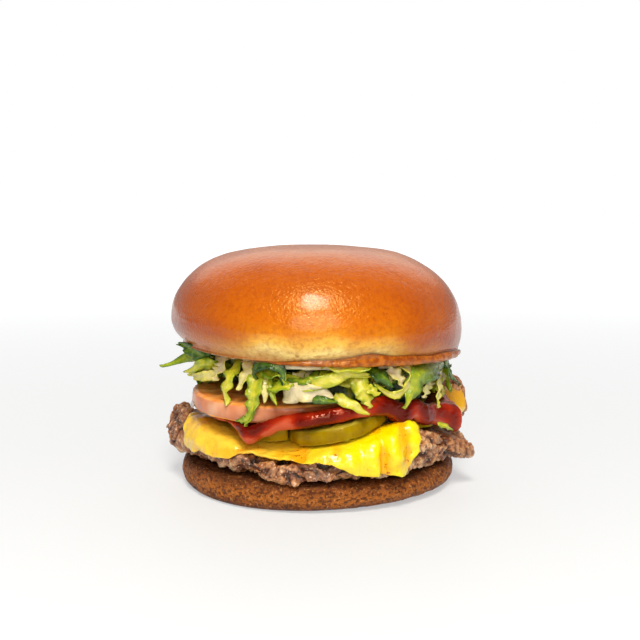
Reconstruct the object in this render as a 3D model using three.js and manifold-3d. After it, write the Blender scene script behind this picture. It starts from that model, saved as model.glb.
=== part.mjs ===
// A cheeseburger, built up layer by layer from the heel of its bun to the crown.
// Millimetres, +Z up. The origin is the middle of the heel's flat base. Angles are in degrees, counter-clockwise
// from +X seen from above, so that the front of the burger, -Y, is at 270.
import * as THREE from "three";
import { ImprovedNoise } from "three/addons/math/ImprovedNoise.js";
import { mergeVertices } from "three/addons/utils/BufferGeometryUtils.js";
import Module from "manifold-3d";

const wasm = await Module();
wasm.setup();

const { degToRad, smoothstep, lerp } = THREE.MathUtils;
const fullTurn = 2 * Math.PI;
const gap = 0.3; // air kept between two pieces that lie on each other
const sliver = 0.06; // a cut's edges closer together than this are merged
const weld = 0.001; // vertices of a cut closer together than this are one
const needle = 0.004; // a face of a cut no higher than this is almost a line
const pinch = 0.03; // how far a vertex is drawn back from another it touches

// Driving dimensions.
const heel = { radius: 51.9, shift: -0.8, height: 10.3, edge: 3.9, segments: 42 };
const patty = { radius: 51, bottom: 10.6, top: 21.4, edge: 5.5, segments: 72 };
const cheese = { side: 89, thickness: 2.4, corner: 32, bend: 5.5, lift: 0.6, cells: 18 };
const pickle = { thickness: 5.8, edge: 1.6, segments: 18 };
const tomato = { thickness: 6.5, edge: 1.4, segments: 32 };
const onion = { thickness: 1.3, height: 8.5, at: 187, span: 36 };
const ketchup = { radius: 45.2, bead: 2.9, level: 30.2, pool: 1.4, segments: 54 };
const lettuce = { radius: 43, bottom: 31, thickness: 0.9, root: 38, looseShreds: 18, segments: 40 };
const mayonnaise = { radius: 44, thickness: 1.9, segments: 30 };
const crown = {
  radius: 55,
  cutRadius: 51,
  shift: -1.2,
  height: 38,
  belt: 10.5, // height of the widest place over the cut
  lean: -2.8, // how far the top sits to the left of the cut
  lift: 50.4,
  tilt: 2.3, // the cut face slopes down to the right, in degrees
  segments: 46,
};

// ------------------------------------------------------------------ shape helpers

const perlin = new ImprovedNoise();
const noise = (x, y, z, size) => perlin.noise(x / size + 11.3, y / size + 5.7, z / size + 2.9);

// A smooth swelling round the circle: 1 at the angle `at`, close to 0 two widths away from it.
function hump(theta, at, width) {
  const away = theta - degToRad(at);
  const wrapped = Math.atan2(Math.sin(away), Math.cos(away));
  return Math.exp(-((wrapped / degToRad(width)) ** 2));
}

// The swellings of a list at one angle. Where one has a ramp, it grows from nothing at radius `from` to all at `to`.
function swell(humps, theta, r = 0) {
  return humps.reduce((sum, { at, width, by, from, to }) => {
    const share = from === undefined ? 1 : smoothstep(r, from, to);
    return sum + by * share * hump(theta, at, width);
  }, 0);
}

// The rows of a disc's section, from the middle of its underside round the edge to the middle of its top.
// `flat` is the share of the flat radius; `out` and `up` are the place on the rounded edge, from -1 to 1.
function discRows(flats, arcRows, squareness = 2, topFlats = flats) {
  const under = flats.map((flat) => ({ flat, out: 0, up: -1 }));
  const edge = Array.from({ length: arcRows }, (_, i) => {
    const angle = lerp(-Math.PI / 2, Math.PI / 2, (i + 1) / (arcRows + 1));
    const power = 2 / squareness;
    return { flat: 1, out: Math.cos(angle) ** power, up: Math.sign(angle) * Math.abs(Math.sin(angle)) ** power };
  });
  const above = topFlats.toReversed().map((flat) => ({ flat, out: 0, up: 1 }));
  return [...under, ...edge, ...above];
}

// A body of revolution whose vertices are moved to place(theta, row). The first and last row lie on the axis.
function turned(segments, rows, place) {
  const guide = rows.map((_, i) => new THREE.Vector2(0, i));
  const geometry = new THREE.LatheGeometry(guide, segments);
  const { position, uv } = geometry.attributes;
  for (let i = 0; i < position.count; i++) {
    const theta = uv.getX(i) * fullTurn;
    const { r, z } = place(theta, rows[Math.round(uv.getY(i) * (rows.length - 1))]);
    position.setXYZ(i, r * Math.cos(theta), r * Math.sin(theta), z);
  }
  return closed(geometry);
}

// A thin sheet with both faces split alike and its border closed. place(u, v, side) moves each point of a plane
// grid, u and v from 0 to 1, to its place on the upper face, side 1, or the lower face, side -1.
function sheet(columns, rows, place) {
  const plane = new THREE.PlaneGeometry(1, 1, columns, rows);
  const { uv } = plane.attributes;
  const points = [];
  for (const side of [1, -1])
    for (let i = 0; i < uv.count; i++) points.push(...place(uv.getX(i), uv.getY(i), side).toArray());
  const top = Array.from(plane.index.array);
  const faces = [...top, ...top.toReversed().map((i) => i + uv.count)];
  const edges = top.map((a, i) => [a, top[i % 3 === 2 ? i - 2 : i + 1]]);
  const used = new Set(edges.map((edge) => edge.join()));
  const border = edges.filter(([a, b]) => !used.has([b, a].join()));
  for (const [a, b] of border) faces.push(b, a, a + uv.count, b, a + uv.count, b + uv.count);
  const geometry = new THREE.BufferGeometry();
  geometry.setAttribute("position", new THREE.Float32BufferAttribute(points, 3));
  geometry.setIndex(faces);
  return closed(geometry);
}

// Merges the vertices that a seam or a pole doubles, and drops the faces that collapse there.
function closed(geometry, tolerance = 1e-4) {
  for (const name of ["normal", "uv"]) geometry.deleteAttribute(name);
  const merged = mergeVertices(geometry, tolerance);
  const index = Array.from(merged.index.array);
  const kept = [];
  for (let i = 0; i < index.length; i += 3) {
    const [a, b, c] = index.slice(i, i + 3);
    if (a !== b && b !== c && c !== a) kept.push(a, b, c);
  }
  merged.setIndex(kept);
  return merged;
}

// ------------------------------------------------------------------ cutting and joining

function solidOf(geometry) {
  const vertProperties = geometry.attributes.position.array;
  const triVerts = new Uint32Array(geometry.index.array);
  return new wasm.Manifold(new wasm.Mesh({ numProp: 3, vertProperties, triVerts }));
}

// Loose scraps and sealed hollows are dropped with all but the largest body.
function largest(solid) {
  return solid.decompose().reduce((best, body) => (body.volume() > best.volume() ? body : best));
}

function bufferOf(solid) {
  const { vertProperties, triVerts } = solid.getMesh();
  const geometry = new THREE.BufferGeometry();
  geometry.setAttribute("position", new THREE.BufferAttribute(vertProperties, 3));
  geometry.setIndex(new THREE.BufferAttribute(triVerts, 1));
  return geometry;
}

// One pass over the faces that are almost a line: each has its long edge turned, so that it and its neighbour
// share the other diagonal. Returns how many it turned.
function turnNeedles(geometry) {
  const index = geometry.index.array;
  const corner = (i) => new THREE.Vector3().fromBufferAttribute(geometry.attributes.position, i);
  const next = (i) => (i % 3 === 2 ? i - 2 : i + 1);
  const starts = new Map(); // where in the index each directed edge starts
  index.forEach((a, i) => starts.set([a, index[next(i)]].join(), i));
  const touched = new Set();
  for (let face = 0; face < index.length; face += 3) {
    const lengths = [face, face + 1, face + 2].map((i) => corner(index[i]).distanceTo(corner(index[next(i)])));
    const long = face + lengths.indexOf(Math.max(...lengths));
    const [a, b, c] = [long, next(long), next(next(long))].map((i) => index[i]);
    const foot = new THREE.Line3(corner(a), corner(b)).closestPointToPoint(corner(c), true, new THREE.Vector3());
    const across = starts.get([b, a].join());
    const other = across - (across % 3);
    const d = index[next(next(across))];
    const taken = starts.has([c, d].join()) || starts.has([d, c].join());
    if (foot.distanceTo(corner(c)) > needle || taken || touched.has(face) || touched.has(other)) continue;
    index.set([a, d, c], face);
    index.set([d, b, c], other);
    touched.add(face).add(other);
    starts.set([c, d].join(), -1).set([d, c].join(), -1);
  }
  return touched.size;
}

// Where a surface touches itself in a single vertex, each side of the touch is drawn back a little.
function openPinches(geometry) {
  const { position } = geometry.attributes;
  const corner = (i) => new THREE.Vector3().fromBufferAttribute(position, i);
  const place = (i) => corner(i).toArray().map((c) => c.toFixed(3)).join();
  const sharing = new Map();
  for (let i = 0; i < position.count; i++) sharing.set(place(i), [...(sharing.get(place(i)) ?? []), i]);
  for (const i of [...sharing.values()].filter((group) => group.length > 1).flat()) {
    const around = new THREE.Vector3();
    const index = Array.from(geometry.index.array);
    const faces = index.flatMap((a, at) => (a === i ? [at - (at % 3)] : []));
    for (const face of faces) for (const a of index.slice(face, face + 3)) around.addScaledVector(corner(a), 1 / 3);
    const inwards = around.divideScalar(faces.length).sub(corner(i)).setLength(pinch);
    position.setXYZ(i, ...corner(i).add(inwards).toArray());
  }
}

// Merging the slivers and then the vertices can seal a small hollow, so the largest body is taken again.
function geometryOf(solid) {
  const merged = closed(bufferOf(largest(solid).simplify(sliver)), weld);
  const geometry = bufferOf(largest(solidOf(merged)));
  openPinches(geometry);
  for (let pass = 0; pass < 8 && turnNeedles(geometry) > 0; pass++);
  return geometry;
}

// What is left of a piece outside its neighbours.
function without(geometry, ...neighbours) {
  const cut = (solid, neighbour) => solid.subtract(solidOf(neighbour));
  return geometryOf(neighbours.reduce(cut, solidOf(geometry)));
}

const joined = (geometries) => geometryOf(geometries.map(solidOf).reduce((whole, solid) => whole.add(solid)));

function piece(name, geometry, color, roughness) {
  geometry.computeVertexNormals();
  const material = new THREE.MeshStandardMaterial({ color, roughness, metalness: 0 });
  const mesh = new THREE.Mesh(geometry, material);
  mesh.name = name;
  return mesh;
}

// ------------------------------------------------------------------ heel of the bun

// The heel's lower edge is pressed rounder at the front right.
const heelRounding = [
  { at: 312, width: 44, by: 7.4 },
  { at: 238, width: 30, by: -2.2 },
];

function heelGeometry() {
  const { radius, shift, height, segments } = heel;
  const geometry = turned(segments, discRows([0, 0.7, 1], 5, 2.5), (theta, { flat, out, up }) => {
    const edge = heel.edge + swell(heelRounding, theta) * (up < 0 ? 1 : 0.2);
    const r = (radius - edge) * flat + edge * out;
    const crumb = out * 0.5 * noise(r * Math.cos(theta), r * Math.sin(theta), up * 4, 5);
    const dip = up > 0 ? 0.5 * smoothstep(r, 30, radius) : 0;
    return { r: r + crumb, z: (height * (up + 1)) / 2 - dip };
  });
  return geometry.translate(shift, 0, 0);
}

// ------------------------------------------------------------------ patty

// Where the patty's edge reaches out, and where its top and underside leave their level between two radii.
const pattyReach = [
  { at: 181, width: 12, by: 7.4 },
  { at: 345, width: 8, by: 6.4 },
  { at: 24, width: 12, by: 13.5 },
  { at: 75, width: 12, by: 2.5 },
  { at: 128, width: 14, by: 3.5 },
  { at: 260, width: 15, by: 2 },
  { at: 318, width: 10, by: 1 },
];
const pattyRise = [
  { at: 181, width: 16, by: 6.6, from: 44, to: 53 },
  { at: 205, width: 16, by: 2.4, from: 30, to: 48 },
  { at: 26, width: 18, by: 8.6, from: 36, to: 56 },
  { at: 304, width: 16, by: 4.8, from: 30, to: 47 },
  { at: 345, width: 12, by: -4, from: 38, to: 54 },
  { at: 252, width: 22, by: -4.6, from: 26, to: 46 },
  { at: 125, width: 24, by: 3.4, from: 34, to: 50 },
];
const pattyUndercut = [
  { at: 25, width: 18, by: 9.5, from: 46, to: 60 },
  { at: 222, width: 16, by: 3.4, from: 42, to: 51 },
  { at: 345, width: 9, by: -1.2, from: 52, to: 56 },
  { at: 264, width: 17, by: -4.2, from: 50, to: 53 },
  { at: 128, width: 14, by: 2.4, from: 44, to: 54 },
];
const pattyRadius = (theta) => patty.radius + swell(pattyReach, theta);
const pattyTop = (theta, r) => patty.top + swell(pattyRise, theta, r);
const pattyUnderside = (theta, r) => patty.bottom + swell(pattyUndercut, theta, r);

// Meat under the cheese is smooth. Where it shows, lumps and hollows break its edge.
function pattyGeometry() {
  const { edge, segments } = patty;
  return turned(segments, discRows([0, 0.82, 1], 7, 2.4, [0, 0.6, 0.72, 0.86, 1]), (theta, { flat, out, up }) => {
    const base = (pattyRadius(theta) - edge) * flat + edge * out;
    const [x, y] = [base * Math.cos(theta), base * Math.sin(theta)];
    const level = lerp(pattyUnderside(theta, base), pattyTop(theta, base), (up + 1) / 2);
    const shown = 1 - smoothstep(level, hemHeight(theta) - 5, hemHeight(theta) - 2);
    const lumps = 2.2 * noise(x, y, level, 8) + 1.4 * noise(x, y, level, 3.7);
    const crag = out * (shown * lumps - (1 - shown) * 0.4);
    return { r: base + crag, z: level + Math.abs(up) * out * shown * noise(x + 40, y, level, 5) };
  });
}

// ------------------------------------------------------------------ cheese slice

// How much further the melted slice has run than its cut square, by angle.
const cheeseRun = [
  { at: 250, width: 33, by: 9.2 },
  { at: 252, width: 21, by: -2.4 },
  { at: 284, width: 9, by: 8 },
  { at: 297, width: 8, by: 5.8 },
  { at: 270, width: 8, by: 2.6 },
  { at: 262, width: 5, by: 2.5 },
  { at: 255, width: 4, by: -2.8 },
  { at: 241, width: 6, by: -3.6 },
  { at: 214, width: 6, by: -4.6 },
  { at: 203, width: 5, by: 4 },
  { at: 310, width: 4, by: -4 },
  { at: 327, width: 11, by: -6 },
  { at: 120, width: 12, by: -2 },
  { at: 90, width: 14, by: 5 },
  { at: 150, width: 13, by: 6 },
  { at: 14, width: 9, by: 14 },
];

// The slice's middle surface: flat out to the patty's shoulder, round it, then straight down. `out` is the way
// along the sheet from its middle, and `tip` is how far its normal is tipped outwards there.
function drape(theta, out) {
  const { bend, thickness, lift } = cheese;
  const half = lift + thickness / 2;
  const shoulder = pattyRadius(theta) + half - bend;
  if (out <= shoulder) return { r: out, z: pattyTop(theta, out) + half, tip: 0 };
  const tip = Math.min((out - shoulder) / bend, Math.PI / 2);
  const hang = Math.max(out - shoulder - (bend * Math.PI) / 2, 0);
  const z = pattyTop(theta, shoulder) + half - bend * (1 - Math.cos(tip)) - hang;
  return { r: shoulder + bend * Math.sin(tip), z, tip };
}

// The way from the slice's middle to its border, by angle.
function cheeseReach(theta) {
  const quarter = Math.PI / 2;
  const fromCorner = THREE.MathUtils.euclideanModulo(theta - degToRad(cheese.corner), quarter);
  const square = cheese.side / 2 / Math.cos(Math.abs(fromCorner - quarter / 2));
  return square + swell(cheeseRun, theta) + 0.5 * Math.sin(13 * theta);
}

const hemHeight = (theta) => drape(theta, cheeseReach(theta)).z;
const cheeseTop = (theta, r) => pattyTop(theta, r) + cheese.lift + cheese.thickness;

function cheeseGeometry(grow = 0) {
  const { thickness, corner, cells } = cheese;
  return sheet(cells, cells, (u, v, side) => {
    const across = new THREE.Vector2(u - 0.5, v - 0.5);
    const theta = Math.atan2(across.y, across.x) + degToRad(corner - 45);
    const rim = Math.max(Math.abs(across.x), Math.abs(across.y)) * 2; // 0 in the middle, 1 on the border
    const square = cheeseReach(theta) - swell(cheeseRun, theta);
    const out = rim * square + rim ** 3 * swell(cheeseRun, theta) + rim * grow;
    const { r, z, tip } = drape(theta, out);
    const offset = side * (grow + (thickness / 2) * (1 - 0.35 * rim ** 8));
    const reach = r + offset * Math.sin(tip);
    return new THREE.Vector3(reach * Math.cos(theta), reach * Math.sin(theta), z + offset * Math.cos(tip));
  });
}

// ------------------------------------------------------------------ pickle chips and tomato slices

// x, y, z is the middle of a slice's underside. The slopes tell how it rises along +X and +Y.
const pickleChips = [
  { name: "pickle_front", x: 6.4, y: -31.2, z: 24.4, radius: 18.2, slopeX: 0.21, slopeY: 0.04, wobble: 0.35 },
  { name: "pickle_left", x: -14.6, y: -27.4, z: 22.6, radius: 13.4, slopeX: 0.02, slopeY: 0.05, wobble: 0.3 },
  { name: "pickle_right", x: 29.5, y: 2.5, z: 25, radius: 14.6, slopeX: 0.02, slopeY: 0.02, wobble: 0.4 },
  { name: "pickle_back", x: 9, y: 33.5, z: 25, radius: 16.5, slopeX: 0.01, slopeY: -0.02, wobble: 0.4 },
  { name: "pickle_back_left", x: -26, y: 20, z: 25.2, radius: 15.5, slopeX: -0.04, slopeY: 0.03, wobble: 0.4 },
];
const tomatoSlices = [
  { name: "tomato_front", x: -12, y: -12, z: 30.2, radius: 34, slopeX: 0.01, slopeY: 0.025, wobble: 0.3 },
  { name: "tomato_back", x: 19, y: 24, z: 35.4, radius: 26, slopeX: -0.07, slopeY: -0.15, wobble: 0.4 },
];

function sliceGeometry({ x, y, z, radius, slopeX, slopeY, wobble }, { thickness, edge, segments }, grow = 0) {
  const rows = discRows([0, 1], edge > 0 ? 3 : 0, 2.4);
  const geometry = turned(segments, rows, (theta, { flat, out, up }) => {
    const uneven = Math.sin(2 * theta + 1) + 0.6 * Math.sin(3 * theta + 2) + 0.3 * Math.sin(5 * theta);
    const r = (radius + wobble * uneven + grow - edge) * flat + edge * out;
    return { r, z: thickness / 2 + (thickness / 2 + grow) * up };
  });
  const normal = new THREE.Vector3(-slopeX, -slopeY, 1).normalize();
  const lean = new THREE.Quaternion().setFromUnitVectors(new THREE.Vector3(0, 0, 1), normal);
  return geometry.applyQuaternion(lean).translate(x, y, z);
}

// ------------------------------------------------------------------ onion strip

// A bent strip of onion stands against the left side of the front tomato slice.
function onionGeometry(grow = 0) {
  const { thickness, height, at, span } = onion;
  const { x, y, radius } = tomatoSlices[0];
  return sheet(8, 2, (u, v, side) => {
    const theta = degToRad(at + span * (u - 0.5));
    const r = radius + 2 * gap + 0.6 + thickness / 2 + side * (thickness / 2 + grow) - 0.6 * v * v;
    const foot = cheeseTop(theta, 48) + 3 * gap;
    const head = foot + height * (0.7 + 0.3 * Math.sin(u * Math.PI));
    return new THREE.Vector3(x + r * Math.cos(theta), y + r * Math.sin(theta), lerp(foot - grow, head + grow, v));
  });
}

// ------------------------------------------------------------------ ketchup

// The pool ends in a thick bead: how far it reaches, how high it lies and how fat it is, by angle.
const ketchupReach = [
  { at: 239, width: 7, by: 2.6 },
  { at: 262, width: 22, by: 1.8 },
  { at: 300, width: 20, by: 1.4 },
  { at: 341, width: 9, by: 5.4 },
  { at: 320, width: 8, by: 1.2 },
  { at: 60, width: 12, by: 1.5 },
  { at: 105, width: 9, by: 2.4 },
  { at: 150, width: 12, by: 1.8 },
  { at: 200, width: 20, by: -2 },
];
const ketchupLevel = [
  { at: 239, width: 6, by: -3.6 },
  { at: 268, width: 14, by: 0.4 },
  { at: 284, width: 16, by: 3.4 },
  { at: 294, width: 9, by: 2.2 },
  { at: 314, width: 9, by: 2.8 },
  { at: 341, width: 10, by: -4.6 },
  { at: 22, width: 20, by: 3 },
  { at: 105, width: 9, by: -1.8 },
  { at: 180, width: 30, by: -0.6 },
];
const ketchupFatness = [
  { at: 239, width: 6, by: 0.7 },
  { at: 341, width: 9, by: 2.2 },
  { at: 105, width: 9, by: 0.8 },
  { at: 200, width: 20, by: -0.7 },
];

function ketchupGeometry(grow = 0) {
  const { radius, segments, pool } = ketchup;
  return turned(segments, discRows([0, 0.7, 1], 5), (theta, { flat, out, up }) => {
    const bead = ketchup.bead + swell(ketchupFatness, theta) + grow;
    const reach = radius + swell(ketchupReach, theta);
    const level = ketchup.level + swell(ketchupLevel, theta);
    const r = reach * flat + bead * out;
    const half = flat < 1 ? pool + grow : bead;
    const z = lerp(ketchup.level - 1, level, smoothstep(r, 24, reach)) + half * up;
    return { r, z: Math.max(z, cheeseTop(theta, r) + 2 * gap - grow) };
  });
}

// ------------------------------------------------------------------ crown of the bun

// The toasted lip round the crown's cut face is widest and deepest at the front right.
const lipDepth = [
  { at: 300, width: 17, by: 2.7 },
  { at: 336, width: 20, by: 1.3 },
];
const lipReach = [
  { at: 345, width: 34, by: 3.3 },
  { at: 300, width: 20, by: 0.7 },
];
const crownRows = [
  ...[0, 0.5, 0.85].map((share) => ({ zone: "cut", share })),
  ...[0, 0.5].map((share) => ({ zone: "lip", share })),
  ...[0, 0.2, 0.45, 0.75].map((share) => ({ zone: "belly", share })),
  ...[0, 0.12, 0.24, 0.37, 0.5, 0.63, 0.76, 0.88, 1].map((share) => ({ zone: "dome", share })),
];
// The dome's section is a superellipse, blunter towards its side than towards its top.
const domeBluntness = { side: 3.29, top: 1.79 };

function crownPoint(theta, { zone, share }) {
  const { radius, cutRadius, height, belt } = crown;
  const lip = cutRadius + swell(lipReach, theta);
  const depth = 1.4 + swell(lipDepth, theta);
  if (zone === "cut") return { r: lip * share, z: 0 };
  if (zone === "lip") return { r: lip - 0.3 + 0.3 * Math.sin(share * Math.PI), z: depth * share };
  if (zone === "belly") return { r: radius - (radius - lip + 0.9) * (1 - share) ** 2.64, z: lerp(depth, belt, share) };
  const angle = (share * Math.PI) / 2;
  const out = share === 1 ? 0 : Math.cos(angle) ** (2 / domeBluntness.side);
  return { r: radius * out, z: belt + (height - belt) * Math.sin(angle) ** (2 / domeBluntness.top) };
}

// The dome stands level although the cut face slopes, and leans to the left.
function crownGeometry() {
  const { height, lean, tilt, shift, segments } = crown;
  const geometry = turned(segments, crownRows, crownPoint);
  const { position } = geometry.attributes;
  for (let i = 0; i < position.count; i++) {
    const share = Math.max(position.getZ(i), 0) / height;
    const x = position.getX(i);
    position.setX(i, x + shift + lean * share ** 1.5);
    position.setZ(i, position.getZ(i) + Math.tan(degToRad(tilt)) * x * share);
  }
  return geometry;
}

// ------------------------------------------------------------------ mayonnaise

const mayonnaiseReach = [
  { at: 262, width: 14, by: 4.6 },
  { at: 318, width: 12, by: 4 },
  { at: 200, width: 12, by: 2 },
  { at: 60, width: 16, by: 3.4 },
  { at: 130, width: 14, by: 2.6 },
];

function mayonnaiseGeometry() {
  const { radius, thickness, segments } = mayonnaise;
  return turned(segments, discRows([0, 1], 3), (theta, { flat, out, up }) => {
    const reach = radius + swell(mayonnaiseReach, theta) + 0.5 * Math.sin(9 * theta);
    return { r: (reach - 1) * flat + out, z: -gap - thickness / 2 + (thickness / 2) * up };
  });
}

// Crown and mayonnaise sit on the pile as one lid, lower on the right.
const lid = new THREE.Group();
lid.position.z = crown.lift;
lid.rotation.y = degToRad(crown.tilt);
lid.updateMatrix();

const underLid = (x) => crown.lift - Math.tan(degToRad(crown.tilt)) * x - mayonnaise.thickness - 2 * gap;

// All the room over the lettuce.
function lidSpaceGeometry() {
  const space = turned(24, discRows([0, 1], 1), (theta, { flat, up }) => ({
    r: 80 * flat,
    z: up < 0 ? -mayonnaise.thickness - 2 * gap : 20 * (up + 1),
  }));
  return space.applyMatrix4(lid.matrix);
}

// ------------------------------------------------------------------ shredded lettuce

function lettuceCoreGeometry() {
  const { radius, bottom, segments } = lettuce;
  return turned(segments, discRows([0, 0.6, 1], 4), (theta, { flat, out, up }) => {
    const reach = radius + 1.4 * Math.sin(5 * theta) + 1.1 * Math.sin(8 * theta + 2);
    const r = (reach - 4) * flat + 4 * out;
    return { r, z: lerp(bottom, underLid(r * Math.cos(theta)) - 0.4, (up + 1) / 2) };
  });
}

// A shred leaves the heap at the angle `at` and height `z`, runs `out` past the heap's radius and falls by `fall`.
// It swings sideways by `swing` and is `width` wide; `stand` turns it on edge, in degrees.
const frontShreds = [
  { at: 187, z: 46.5, out: 17, fall: 3, swing: 3, width: 4.6, stand: 15 },
  { at: 193, z: 46, out: 9, fall: 0, swing: -3, width: 7, stand: 35 },
  { at: 199, z: 43, out: 7, fall: 4, swing: 2, width: 5, stand: 10 },
  { at: 213, z: 45, out: 5, fall: 4, swing: 4, width: 7, stand: 80 },
  { at: 229, z: 46, out: 5, fall: 10, swing: 1, width: 4.8, stand: 72 },
  { at: 236, z: 45, out: 4.5, fall: 6, swing: 0, width: 5, stand: 70 },
  { at: 244, z: 46, out: 5.5, fall: 16.5, swing: -1, width: 4.8, stand: 60 },
  { at: 251, z: 45, out: 5, fall: 6, swing: 3, width: 7, stand: 60 },
  { at: 258, z: 44, out: 4.5, fall: 4, swing: 2, width: 6, stand: 50 },
  { at: 266, z: 42, out: 4, fall: 2.5, swing: 6, width: 8, stand: 80 },
  { at: 274, z: 46, out: 5, fall: 2, swing: 8, width: 6, stand: 60 },
  { at: 283, z: 44, out: 5, fall: 7, swing: 6, width: 6.5, stand: 60 },
  { at: 290, z: 45, out: 5.5, fall: 7.5, swing: -3, width: 6.5, stand: 75 },
  { at: 299, z: 44, out: 5, fall: 4, swing: 4, width: 7, stand: 40 },
  { at: 309, z: 45, out: 6, fall: 9, swing: -4, width: 7, stand: 70 },
  { at: 318, z: 44, out: 5.5, fall: 7, swing: 1, width: 6, stand: 70 },
  { at: 337, z: 45, out: 9, fall: 6.5, swing: 3, width: 4, stand: 60 },
];

// Shreds spread over the rest of the rim, each a little different. Sines of their number stand in for chance.
const looseShreds = Array.from({ length: lettuce.looseShreds }, (_, i) => {
  const chance = (k) => Math.sin(i * k + k) * 0.5 + 0.5;
  return {
    at: 348.6 + (198 * (i + 0.5 * chance(3.7))) / lettuce.looseShreds,
    z: 40.5 + 5.2 * chance(2.3),
    out: 4 + 6 * chance(5.1),
    fall: 1.5 + 7 * chance(7.9),
    swing: 12 * chance(1.9) - 6,
    width: 4.2 + 3.2 * chance(4.3),
    stand: 15 + 65 * chance(6.1),
  };
});

function shredGeometry({ at, z, out, fall, swing, width, stand }) {
  const { root, radius, thickness } = lettuce;
  const headroom = underLid(root * Math.cos(degToRad(at))) - width / 2 - 0.8;
  const start = Math.min(z, headroom);
  const leaning = degToRad(stand);
  const strip = sheet(2, 4, (u, v, side) => {
    const across = (u - 0.5) * width * (1 - 0.45 * v ** 3);
    const crease = 0.7 * (Math.abs(u - 0.5) * 2 - 0.5) * Math.cos(v * 5 + at);
    const offset = crease + (side * thickness) / 2;
    return new THREE.Vector3(
      root + (radius + out - root) * v,
      swing * v ** 1.5 + 0.5 * Math.sin(v * 9 + at) + across * Math.cos(leaning) - offset * Math.sin(leaning),
      start - fall * v ** 2.2 + across * Math.sin(leaning) + offset * Math.cos(leaning),
    );
  });
  return strip.rotateZ(degToRad(at));
}

// ------------------------------------------------------------------ the pile

// The room that slices need among their neighbours, square-edged.
const roomOf = (slices, kind) => slices.map((slice) => sliceGeometry(slice, { ...kind, edge: 0 }, gap));
const roundTomatoes = roomOf(tomatoSlices, tomato);
const roundPickles = roomOf(pickleChips, pickle);
const roundCheese = cheeseGeometry(gap);
const roundOnion = onionGeometry(gap);

const ketchupPool = without(ketchupGeometry(), roundOnion, ...roundPickles, ...roundTomatoes);
const lettuceHeap = joined([lettuceCoreGeometry(), ...[...frontShreds, ...looseShreds].map(shredGeometry)]);
const lettuceRoom = [ketchupGeometry(gap), roundOnion, roundCheese, ...roundPickles, ...roundTomatoes];

lid.add(
  piece("mayonnaise", mayonnaiseGeometry(), 0xf0e2b8, 0.35),
  piece("crown", crownGeometry(), 0xd8873a, 0.35),
);

const burger = new THREE.Group();
burger.add(
  piece("heel", heelGeometry(), 0xa5652c, 0.8),
  piece("patty", without(pattyGeometry(), roundCheese), 0x7c4a30, 0.6),
  piece("cheese", cheeseGeometry(), 0xfac832, 0.3),
  ...pickleChips.map((chip, i) => {
    const room = [roundCheese, ...roundTomatoes, ...roundPickles.slice(0, i)];
    return piece(chip.name, without(sliceGeometry(chip, pickle), ...room), 0x8f7f14, 0.3);
  }),
  piece("ketchup", ketchupPool, 0x9c2410, 0.15),
  piece("onion", onionGeometry(), 0xddd8cc, 0.3),
  ...tomatoSlices.map((slice) => piece(slice.name, sliceGeometry(slice, tomato), 0xd4683c, 0.3)),
  piece("lettuce", without(lettuceHeap, lidSpaceGeometry(), ...lettuceRoom), 0x94b034, 0.45),
  lid,
);

export default burger;
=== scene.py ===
# Dresses the cheeseburger: every solid of the frame is replaced by a finely modelled piece of food in its place.
# Settings are in millimetres, and the front of the burger faces -Y.
import math
import random

import bmesh
import bpy
import numpy as np
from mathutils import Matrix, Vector, noise


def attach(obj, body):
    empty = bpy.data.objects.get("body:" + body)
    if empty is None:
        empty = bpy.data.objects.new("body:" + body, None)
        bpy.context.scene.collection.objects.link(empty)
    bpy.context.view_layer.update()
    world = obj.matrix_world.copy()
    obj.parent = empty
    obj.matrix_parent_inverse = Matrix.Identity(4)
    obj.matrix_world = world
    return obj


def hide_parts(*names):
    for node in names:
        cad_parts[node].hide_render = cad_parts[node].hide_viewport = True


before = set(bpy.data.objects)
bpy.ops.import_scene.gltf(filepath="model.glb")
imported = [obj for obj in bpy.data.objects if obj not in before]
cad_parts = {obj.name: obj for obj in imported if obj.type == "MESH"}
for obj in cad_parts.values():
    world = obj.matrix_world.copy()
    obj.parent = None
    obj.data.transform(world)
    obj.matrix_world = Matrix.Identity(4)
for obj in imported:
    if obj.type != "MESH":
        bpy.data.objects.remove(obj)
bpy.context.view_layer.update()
print("frame loaded:", len(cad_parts), "solids")

mm = 0.001
up = Vector((0, 0, 1))
smoothLevels = 3
scene = bpy.context.scene

# The camera.

camera = {"place": Vector((0, -380, 104)), "pitch": 6.6, "lens": 56.65, "sensor": 36, "pictureSide": 640}


def makeCamera():
    data = bpy.data.cameras.new("camera")
    data.lens = camera["lens"]
    data.sensor_width = camera["sensor"]
    holder = bpy.data.objects.new("camera", data)
    holder.location = camera["place"] * mm
    holder.rotation_euler = (math.radians(90 - camera["pitch"]), 0, 0)
    scene.collection.objects.link(holder)
    scene.camera = holder


# The place that the camera sees at (across, down) in its picture, `reach` from the burger's axis.
def spot(across, down, reach):
    half = camera["pictureSide"] / 2
    focal = camera["lens"] / camera["sensor"] * camera["pictureSide"]
    pitch = math.radians(camera["pitch"])
    ahead = Vector((0, math.cos(pitch), -math.sin(pitch)))
    above = Vector((0, math.sin(pitch), math.cos(pitch)))
    ray = ahead + Vector(((across - half) / focal, 0, 0)) + above * ((half - down) / focal)
    start = camera["place"]
    a = ray.x**2 + ray.y**2
    b = start.y * ray.y
    inside = b * b - a * (start.y**2 - reach**2)
    return start + ray * ((-b - math.sqrt(max(inside, 0))) / a)


makeCamera()

# Helpers for meshes.


def newPiece(name, mesh, material, slot, *nodes):
    piece = bpy.data.objects.new(name, mesh)
    scene.collection.objects.link(piece)
    mesh.materials.clear()
    mesh.materials.append(material)
    mesh.shade_smooth()
    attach(piece, "root")
    if nodes:
        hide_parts(*nodes)
    print("made", name, len(mesh.vertices))
    return piece


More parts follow.
